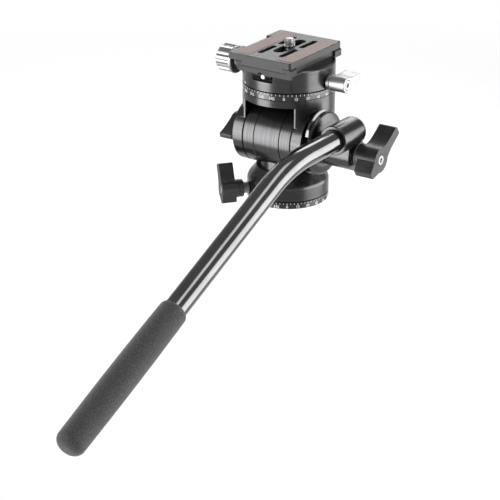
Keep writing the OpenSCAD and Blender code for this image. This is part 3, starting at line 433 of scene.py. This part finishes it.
def meshObject(name, bm, smoothAngle=None):
    mesh = bpy.data.meshes.new(name)
    bm.to_mesh(mesh)
    bm.free()
    if smoothAngle is not None:
        mesh.shade_smooth()
        mesh.set_sharp_from_angle(angle=math.radians(smoothAngle))
    piece = bpy.data.objects.new(name, mesh)
    bpy.context.scene.collection.objects.link(piece)
    return piece


def spinOutline(bm, outline, foot, along, out, steps):
    verts = [bm.verts.new(foot + along * a * mm + out * r * mm) for a, r in outline]
    for one, two in zip(verts, verts[1:]):
        bm.edges.new((one, two))
    bmesh.ops.spin(bm, geom=bm.verts[:] + bm.edges[:], cent=foot, axis=along, angle=math.tau, steps=steps,
                   use_merge=True)


def place(piece, body, slot, look, *replaced):
    piece.data.materials.clear()
    piece.data.materials.append(finish[look])
    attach(piece, body)
    if replaced:
        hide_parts(*replaced)


# CAD pieces shown with their edges broken: width of the edge in mm and look
# "rim" gives edges between two places along an axis a width and least angle of their own
# "upper" is the look of the faces over a height
# "weld" draws a ring of points down to a lower ring, outside a radius, so that one wide edge is rounded there
# "flat" mills the rear down to a place on the y axis, between two heights and within a reach to each side
edgeWork = {
    "base_disc": {"edge": 0.25, "look": "turnedZ"},
    "pan_housing": {"edge": 0.20, "look": "turnedZ", "upper": ("turnedX", 21.0),
                    "rim": ("z", 12.8, 13.0, 1.2, 25), "weld": (13.3, 12.9, 23.0)},
    "drum_ring_left": {"edge": 0.25, "look": "turnedX"},
    "drum_ring_right": {"edge": 0.25, "look": "turnedX"},
    "tilt_fork": {"edge": 0.25, "look": "turnedZ", "flat": (-20.5, 51.2, 62.9, 18.2)},
    "handle_boss": {"edge": 0.25, "look": "turnedX", "rim": ("x", 28.9, 29.8, 1.5, 32)},
    "handle_bracket": {"edge": 0.60, "look": "milled"},
    "scale_ring": {"edge": 0.18, "look": "turnedZ"},
    "turntable": {"edge": 0.35, "look": "turnedZ"},
    "clamp_base": {"edge": 0.06, "look": "clamp"},
    "moving_jaw": {"edge": 0.20, "look": "milled"},
    "quick_release_plate": {"edge": 0.05, "look": "plate", "rim": ("z", 92.0, 93.0, 0.35, 32)},
    "plate_pads": {"edge": 0.12, "look": "pads"},
    "level_holder": {"edge": 0.12, "look": "holder"},
    "lever_hub": {"edge": 0.25, "look": "silverTurned"},
    "lever_wing": {"edge": 0.45, "look": "silver"},
    "clamp_knob": {"edge": 0.25, "look": "silverTurned"},
    "clamp_collar": {"edge": 0.20, "look": "steel"},
    "pan_lock_knob": {"edge": 0.60, "look": "plastic"},
    "pan_lock_collar": {"edge": 0.30, "look": "plastic"},
    "tilt_lock_knob": {"edge": 0.60, "look": "plastic"},
    "handle_knob": {"edge": 0.70, "look": "plastic"},
    "handle_knob_washer": {"edge": 0.30, "look": "silverTurned"},
    "handle_knob_screw": {"edge": 0.15, "look": "silver"},
    "lever_screw": {"edge": 0.15, "look": "silver"},
    "pan_lock_screw": {"edge": 0.15, "look": "steel"},
    "tilt_lock_screw": {"edge": 0.15, "look": "steel"},
}


# sharp edges in connected runs, so that a small run doesn't hold back the width of the others
def sharpRuns(bm, axis, low, high, angle):
    along = "xyz".index(axis)
    for edge in bm.edges:
        isBetween = all(low * mm < vert.co[along] < high * mm for vert in edge.verts)
        edge.tag = isBetween and edge.is_manifold and abs(edge.calc_face_angle(0)) > math.radians(angle)
    runs = []
    for edge in bm.edges:
        if not edge.tag:
            continue
        edge.tag = False
        run, ends = [edge], list(edge.verts)
        while ends:
            for other in ends.pop().link_edges:
                if other.tag:
                    other.tag = False
                    run.append(other)
                    ends.extend(other.verts)
        runs.append(run)
    return runs


def clearTiny(bm):
    bmesh.ops.remove_doubles(bm, verts=bm.verts, dist=meshWork["tinyEdge"])
    bmesh.ops.dissolve_degenerate(bm, edges=bm.edges, dist=meshWork["tinyEdge"])
    bmesh.ops.recalc_face_normals(bm, faces=bm.faces)


def weldRing(bm, high, low, radius):
    outer = [v for v in bm.verts if v.co.xy.length > radius * mm]
    upper, lower = ([v for v in outer if abs(v.co.z - height * mm) < 0.02 * mm] for height in (high, low))
    pairs = {v: min(lower, key=lambda other: (other.co - v.co).length) for v in upper}
    bmesh.ops.weld_verts(bm, targetmap=pairs)
    clearTiny(bm)


def millFlat(bm, rear, low, high, reach):
    def isBeyond(vert):
        x, y, z = (c / mm for c in vert.co)
        return y < rear - 0.001 and abs(x) < reach and low - 1 < z < high + 1

    for where, across in (((0, rear, 0), (0, 1, 0)), ((0, 0, low), (0, 0, 1)), ((0, 0, high), (0, 0, 1))):
        faces = [f for f in bm.faces if any(isBeyond(vert) for vert in f.verts)]
        edges = {e for f in faces for e in f.edges}
        verts = {v for f in faces for v in f.verts}
        bmesh.ops.bisect_plane(bm, geom=[*verts, *edges, *faces], plane_co=[c * mm for c in where],
                               plane_no=across)
    for vert in bm.verts:
        if isBeyond(vert) and (low - 0.01) * mm < vert.co.z < (high + 0.01) * mm:
            vert.co.y = rear * mm
    clearTiny(bm)


# normals weighted by the size of the faces, but straight out from the pan or tilt axis on round walls
turnAxes = [(Vector((0, 0, 0)), Vector((0, 0, 1))), (Vector((0, -5.2, 40.2)) * mm, Vector((1, 0, 0)))]


def evenNormals(piece):
    weigh = piece.modifiers.new("evenNormals", "WEIGHTED_NORMAL")
    weigh.keep_sharp = True
    bpy.context.view_layer.update()
    shown = piece.evaluated_get(bpy.context.evaluated_depsgraph_get())
    normals = [corner.vector.copy() for corner in shown.data.corner_normals]
    piece.modifiers.clear()
    mesh = piece.data
    for face in mesh.polygons:
        for foot, axis in turnAxes:
            arms = [mesh.vertices[v].co - foot for v in face.vertices]
            arms = [arm - arm.dot(axis) * axis for arm in arms]
            lengths = [arm.length for arm in arms]
            facing = face.normal.dot(sum(arms, Vector()).normalized())
            if min(lengths) > 5 * mm and max(lengths) - min(lengths) < 0.04 * mm and abs(facing) > 0.99:
                for corner, arm in zip(face.loop_indices, arms):
                    normals[corner] = arm.normalized() * math.copysign(1, facing)
    mesh.normals_split_custom_set(normals)


def brokenEdges(node, work):
    bm = bmesh.new()
    bm.from_mesh(cadNodes[node].data)
    bmesh.ops.remove_doubles(bm, verts=bm.verts, dist=meshWork["mergeGap"])
    bmesh.ops.dissolve_limit(bm, angle_limit=math.radians(meshWork["flatAngle"]), verts=bm.verts,
                             edges=bm.edges)
    if "weld" in work:
        weldRing(bm, *work["weld"])
    if "flat" in work:
        millFlat(bm, *work["flat"])
    whole = ("z", -1000, 1000, work["edge"], meshWork["sharpAngle"])
    for band in [work["rim"], whole] if "rim" in work else [whole]:
        axis, low, high, width, angle = band
        for run in sharpRuns(bm, axis, low, high, angle):
            bmesh.ops.bevel(bm, geom=[e for e in run if e.is_valid], offset=width * mm, offset_type="OFFSET",
                            affect="EDGES", segments=meshWork["bevelSteps"], profile=0.5, material=-1,
                            clamp_overlap=band is whole)
    piece = meshObject(node + "_shown", bm, meshWork["smoothAngle"])
    evenNormals(piece)
    place(piece, bodyOf[node], slotOf[node], work["look"], node)
    if "upper" in work:
        look, foot = work["upper"]
        piece.data.materials.append(finish[look])
        for face in piece.data.polygons:
            face.material_index = 1 if face.center.z > foot * mm else 0


def dressCad():
    for node, item in cadNodes.items():
        item.data.materials.clear()
        item.data.materials.append(finish[slotFinish[slotOf[node]]])
    for node, work in edgeWork.items():
        brokenEdges(node, work)


# flare on the back of the handle's disc, round the tilt axis, in mm and degrees above the rear
flare = {"axisY": -5.2, "axisZ": 40.2, "inner": 18.4, "reach": 2.0, "face": 27.6, "slope": 22, "back": 25.6,
         "from": 26, "to": 112, "steps": 44}


def makeFlare():
    centre = Vector((0, flare["axisY"], flare["axisZ"])) * mm
    bm = bmesh.new()
    inner, outer = flare["inner"], flare["inner"] + 1
    corners = [(inner, flare["face"]), (outer, flare["face"]), (outer, flare["back"]), (inner, flare["back"])]
    start = math.radians(flare["from"])
    rear = Vector((0, -math.cos(start), math.sin(start)))
    profile = [bm.verts.new(centre + rear * r * mm + Vector((x * mm, 0, 0))) for r, x in corners]
    face = bm.faces.new(profile)
    sweep = math.radians(flare["to"] - flare["from"])
    bmesh.ops.spin(bm, geom=[face, *face.edges, *profile], cent=centre, axis=(-1, 0, 0), angle=sweep,
                   steps=flare["steps"])
    for vert in bm.verts:
        arm = Vector((0, vert.co.y, vert.co.z)) - centre
        if arm.length < (flare["inner"] + 0.5) * mm:
            continue
        part = (math.atan2(arm.z, -arm.y) - start) / sweep
        wide = 0.1 + flare["reach"] * math.sin(math.pi * min(max(part, 0), 1))
        vert.co = centre + arm.normalized() * (flare["inner"] + wide) * mm + Vector((vert.co.x, 0, 0))
        if vert.co.x > (flare["face"] - 1) * mm:
            vert.co.x -= wide * math.tan(math.radians(flare["slope"])) * mm
    bmesh.ops.recalc_face_normals(bm, faces=bm.faces)
    piece = meshObject("headFlare", bm, meshWork["smoothAngle"])
    place(piece, "tilt", "black_body", "tube")


# handle: straight, bend, straight, in mm
handle = {"x": 46.0, "z": 50.8, "front": -6.0, "bendY": -54.0, "bendRadius": 90.0, "bendAngle": 23.55,
          "bendSteps": 28, "tubeRadius": 6.3, "bare": 93.8, "plugged": 4.0, "gripLength": 95.0,
          "gripRadius": 7.8, "gripCrown": 0.35, "gripSteps": 26, "endRound": 5.4, "endSteps": 10}


def bendEnd():
    turn = math.radians(handle["bendAngle"])
    y = handle["bendY"] - handle["bendRadius"] * math.sin(turn)
    z = handle["z"] - handle["bendRadius"] * (1 - math.cos(turn))
    return Vector((handle["x"], y, z)) * mm, Vector((0, -math.cos(turn), -math.sin(turn)))


def makeTube():
    bm = bmesh.new()
    ring = bmesh.ops.create_circle(bm, segments=64, radius=handle["tubeRadius"] * mm)["verts"]
    bmesh.ops.rotate(bm, verts=ring, cent=(0, 0, 0), matrix=Matrix.Rotation(math.radians(90), 3, "X"))
    start = Vector((handle["x"], handle["front"], handle["z"])) * mm
    bmesh.ops.translate(bm, verts=ring, vec=start)

    def carryOn(edges, step):
        made = bmesh.ops.extrude_edge_only(bm, edges=edges)["geom"]
        bmesh.ops.translate(bm, verts=[g for g in made if isinstance(g, bmesh.types.BMVert)], vec=step)
        return [g for g in made if isinstance(g, bmesh.types.BMEdge) and len(g.link_faces) == 1]

    edges = carryOn(list(bm.edges), Vector((0, (handle["bendY"] - handle["front"]) * mm, 0)))
    centre = Vector((handle["x"], handle["bendY"], handle["z"] - handle["bendRadius"])) * mm
    spun = bmesh.ops.spin(bm, geom=edges, cent=centre, axis=(1, 0, 0),
                          angle=math.radians(handle["bendAngle"]), steps=handle["bendSteps"])
    edges = [g for g in spun["geom_last"] if isinstance(g, bmesh.types.BMEdge)]
    where, along = bendEnd()
    carryOn(edges, along * (handle["bare"] + handle["gripLength"] - handle["plugged"]) * mm)
    bmesh.ops.holes_fill(bm, edges=[e for e in bm.edges if e.is_boundary], sides=0)
    bmesh.ops.recalc_face_normals(bm, faces=bm.faces)
    tube = meshObject("handleTube", bm, meshWork["smoothAngle"])
    place(tube, "handle", "tube", "tube", "handle_tube")


def makeGrip():
    where, along = bendEnd()
    across = Vector((1, 0, 0))
    length, radius, crown = handle["gripLength"], handle["gripRadius"], handle["gripCrown"]
    bore, endRound, lip = handle["tubeRadius"] + 0.05, handle["endRound"], 3
    outline = [(1.2, bore), (0.35, bore + 0.25), (0.0, bore + 0.75)]    # rolled lip round the tube
    outline += [(0.35, radius - 0.45), (1.4, radius - 0.12)]
    for i in range(handle["gripSteps"] + 1):
        t = i / handle["gripSteps"]
        outline.append((lip + (length - endRound - lip) * t, radius + crown * math.sin(math.pi * t) - 0.05))
    for i in range(1, handle["endSteps"]):
        swing = math.radians(90 * i / handle["endSteps"])
        outline.append((length - endRound + endRound * math.sin(swing),
                        radius - endRound + endRound * math.cos(swing)))
    outline += [(length, radius - endRound), (length, 0)]
    bm = bmesh.new()
    begin = where + along * handle["bare"] * mm
    spinOutline(bm, outline, begin, along, across, 72)
    bmesh.ops.remove_doubles(bm, verts=bm.verts, dist=1e-6)
    bmesh.ops.recalc_face_normals(bm, faces=bm.faces)
    grip = meshObject("foamGrip", bm, 60)
    place(grip, "handle", "foam", "foam", "handle_grip")


# camera screw: 1/4-20 thread over a neck, slotted head below
cameraScrew = {"x": 0.3, "y": -0.05, "foot": 92.75, "top": 97.25, "radius": 3.175, "pitch": 1.27,
               "depth": 0.62, "turnSteps": 36}


def makeScrewThread():
    s = cameraScrew
    bm = bmesh.new()
    core = s["radius"] - s["depth"]
    bmesh.ops.create_cone(bm, cap_ends=True, segments=48, radius1=core * mm, radius2=core * mm,
                          depth=(s["top"] - s["foot"]) * mm)
    rim = [e for e in bm.edges if all(v.co.z > 0 for v in e.verts)]
    bmesh.ops.bevel(bm, geom=rim, offset=0.5 * mm, affect="EDGES", segments=3, profile=0.5, material=-1)
    bmesh.ops.translate(bm, verts=bm.verts, vec=(0, 0, (s["top"] + s["foot"]) / 2 * mm))
    turns = (s["top"] - s["foot"] - 1.3) / s["pitch"]
    half = s["pitch"] * 0.46
    low = s["foot"] + half
    corners = [(core - 0.2, low - half), (s["radius"], low - half * 0.15), (s["radius"], low + half * 0.15),
               (core - 0.2, low + half)]
    ridge = [bm.verts.new((r * mm, 0, z * mm)) for r, z in corners]
    face = bm.faces.new(ridge)
    steps = int(turns * s["turnSteps"])
    bmesh.ops.spin(bm, geom=[face] + list(face.edges) + ridge, cent=(0, 0, 0), axis=(0, 0, 1),
                   angle=turns * math.tau, steps=steps, dvec=(0, 0, s["pitch"] * mm / s["turnSteps"]))
    bmesh.ops.translate(bm, verts=bm.verts, vec=(s["x"] * mm, s["y"] * mm, 0))
    bmesh.ops.recalc_face_normals(bm, faces=bm.faces)
    return bm


def makeCameraScrew():
    bm = makeScrewThread()
    shank = bmesh.new()
    shank.from_mesh(cadNodes["camera_screw"].data)
    bmesh.ops.remove_doubles(shank, verts=shank.verts, dist=meshWork["mergeGap"])
    cut = cameraScrew["foot"] * mm + 5e-6
    bmesh.ops.bisect_plane(shank, geom=shank.verts[:] + shank.edges[:] + shank.faces[:], plane_co=(0, 0, cut),
                           plane_no=(0, 0, 1), clear_outer=True)
    bmesh.ops.holes_fill(shank, edges=[e for e in shank.edges if e.is_boundary], sides=0)
    lower = bpy.data.meshes.new("screwShank")
    shank.to_mesh(lower)
    shank.free()
    bm.from_mesh(lower)
    screw = meshObject("cameraScrewShown", bm, 35)
    place(screw, "camera_bolt", "silver", "silver", "camera_screw")


# engraved scales: marks every few degrees, numbers between, in mm
scales = {
    "panoramaScale": {"body": "tilt", "radius": 27.2, "foot": 67.5, "start": -63.2, "number": 1.75,
                      "numberFoot": 0.5, "tickTop": 4.0, "tick": 0.95, "longTick": 1.3},
    "panScale": {"body": "base", "radius": 24.5, "foot": 0.0, "start": -58.0, "number": 1.7,
                 "numberFoot": 0.7, "tickTop": 3.85, "tick": 0.8, "longTick": 1.1},
}
scaleMarks = {"step": 5, "numberStep": 15, "tickWidth": 0.30, "proud": 0.03, "bold": 0.05, "fontShare": 1.38}


def addTick(bm, values, angle, length):
    made = bmesh.ops.create_cube(bm, size=1)["verts"]
    size = (2 * scaleMarks["proud"], scaleMarks["tickWidth"], length)
    bmesh.ops.scale(bm, verts=made, vec=[v * mm for v in size])
    top = values["foot"] + values["tickTop"]
    bmesh.ops.translate(bm, verts=made, vec=(values["radius"] * mm, 0, (top - length / 2) * mm))
    bmesh.ops.rotate(bm, verts=made, cent=(0, 0, 0), matrix=Matrix.Rotation(math.radians(angle), 3, "Z"))


def addNumber(bm, values, angle, number):
    words = bpy.data.curves.new("scaleNumber", "FONT")
    words.body = str(number)
    words.size = values["number"] * mm * scaleMarks["fontShare"]    # a figure is shorter than its type size
    words.align_x = "CENTER"
    words.resolution_u = 3
    words.extrude = scaleMarks["proud"] * mm
    words.offset = scaleMarks["bold"] * mm
    holder = bpy.data.objects.new("scaleNumber", words)
    bpy.context.scene.collection.objects.link(holder)
    bpy.context.view_layer.update()
    flat = bpy.data.meshes.new_from_object(holder.evaluated_get(bpy.context.evaluated_depsgraph_get()))
    bpy.data.objects.remove(holder)
    bpy.data.curves.remove(words)
    base = (values["foot"] + values["numberFoot"]) * mm
    for vert in flat.vertices:
        turn = math.radians(angle) + vert.co.x / (values["radius"] * mm)
        reach = values["radius"] * mm + vert.co.z
        vert.co = (reach * math.cos(turn), reach * math.sin(turn), base + vert.co.y)
    bm.from_mesh(flat)
    bpy.data.meshes.remove(flat)


def makeScale(name):
    values = scales[name]
    bm = bmesh.new()
    for i in range(0, 360, scaleMarks["step"]):
        angle = values["start"] + i
        isNumber = i % scaleMarks["numberStep"] == 0
        addTick(bm, values, angle, values["longTick"] if isNumber else values["tick"])
        if isNumber:
            addNumber(bm, values, angle, i)
    piece = meshObject(name, bm)
    place(piece, values["body"], "nylon", "marks")


# index mark on the lower edge of the turntable, over the panorama scale
indexMark = {"body": "panorama", "radius": 27.2, "angle": -126, "height": 73.4, "size": 1.0, "proud": 0.03}


def makeIndexMark():
    bm = bmesh.new()
    size = indexMark["size"] * mm
    made = bmesh.ops.create_cone(bm, cap_ends=True, segments=3, radius1=size, radius2=size,
                                 depth=2 * indexMark["proud"] * mm)["verts"]
    lowest = min(made, key=lambda vert: vert.co.y)
    turn = math.atan2(lowest.co.y, lowest.co.x) + math.pi / 2
    for angle, axis in ((-turn, "Z"), (math.radians(90), "X"), (math.radians(90), "Z")):
        bmesh.ops.rotate(bm, verts=made, cent=(0, 0, 0), matrix=Matrix.Rotation(angle, 3, axis))
    bmesh.ops.translate(bm, verts=made, vec=(indexMark["radius"] * mm, 0, indexMark["height"] * mm))
    around = Matrix.Rotation(math.radians(indexMark["angle"]), 3, "Z")
    bmesh.ops.rotate(bm, verts=made, cent=(0, 0, 0), matrix=around)
    piece = meshObject("panoramaIndex", bm)
    place(piece, indexMark["body"], "nylon", "marks")


# thread of the pan lock's stud, between the housing and the collar, along the lock's axis
studThread = {"inner": 24.95, "outer": 28.3, "radius": 3.15, "crest": 3.5, "pitch": 0.84}


def makeStudThread():
    lock = next(j for j in frame["record"]["behaviour"]["joints"] if j["name"] == "pan_lock_turn")
    along = Vector(lock["axis"]).normalized()
    foot = Vector((0, 0, lock["pos_m"][2]))
    up = Vector((0, 0, 1))
    turns = round((studThread["outer"] - studThread["inner"]) / studThread["pitch"])
    step = (studThread["outer"] - studThread["inner"]) / turns
    outline = []
    for i in range(turns):
        begin = studThread["inner"] + i * step
        outline += [(begin, studThread["radius"]), (begin + step * 0.4, studThread["crest"]),
                    (begin + step * 0.6, studThread["crest"])]
    outline.append((studThread["outer"], studThread["radius"]))
    bm = bmesh.new()
    spinOutline(bm, outline, foot, along, up, 48)
    bmesh.ops.holes_fill(bm, edges=[e for e in bm.edges if e.is_boundary], sides=0)
    bmesh.ops.recalc_face_normals(bm, faces=bm.faces)
    piece = meshObject("panLockThread", bm, 30)
    place(piece, "pan_lock", "silver", "silver")


# level: the bubble in its vial behind the rear window, its white a painted highlight
bubble = {"place": (-0.6, -26.4, 80.6), "radius": (1.5, 0.6, 1.4)}


def makeBubble():
    bm = bmesh.new()
    bmesh.ops.create_uvsphere(bm, u_segments=32, v_segments=16, radius=mm)
    bmesh.ops.scale(bm, verts=bm.verts, vec=bubble["radius"])
    bmesh.ops.translate(bm, verts=bm.verts, vec=Vector(bubble["place"]) * mm)
    piece = meshObject("levelBubble", bm, 60)
    place(piece, "panorama", "vial", "bubble")


makeCamera()
makeStudio()
print("studio ready")
dressCad()
makeFlare()
print("CAD pieces dressed")
makeTube()
makeGrip()
print("handle made")
makeCameraScrew()
for scaleName in scales:
    makeScale(scaleName)
makeIndexMark()
makeStudThread()
makeBubble()
print("screws, scales and level made")
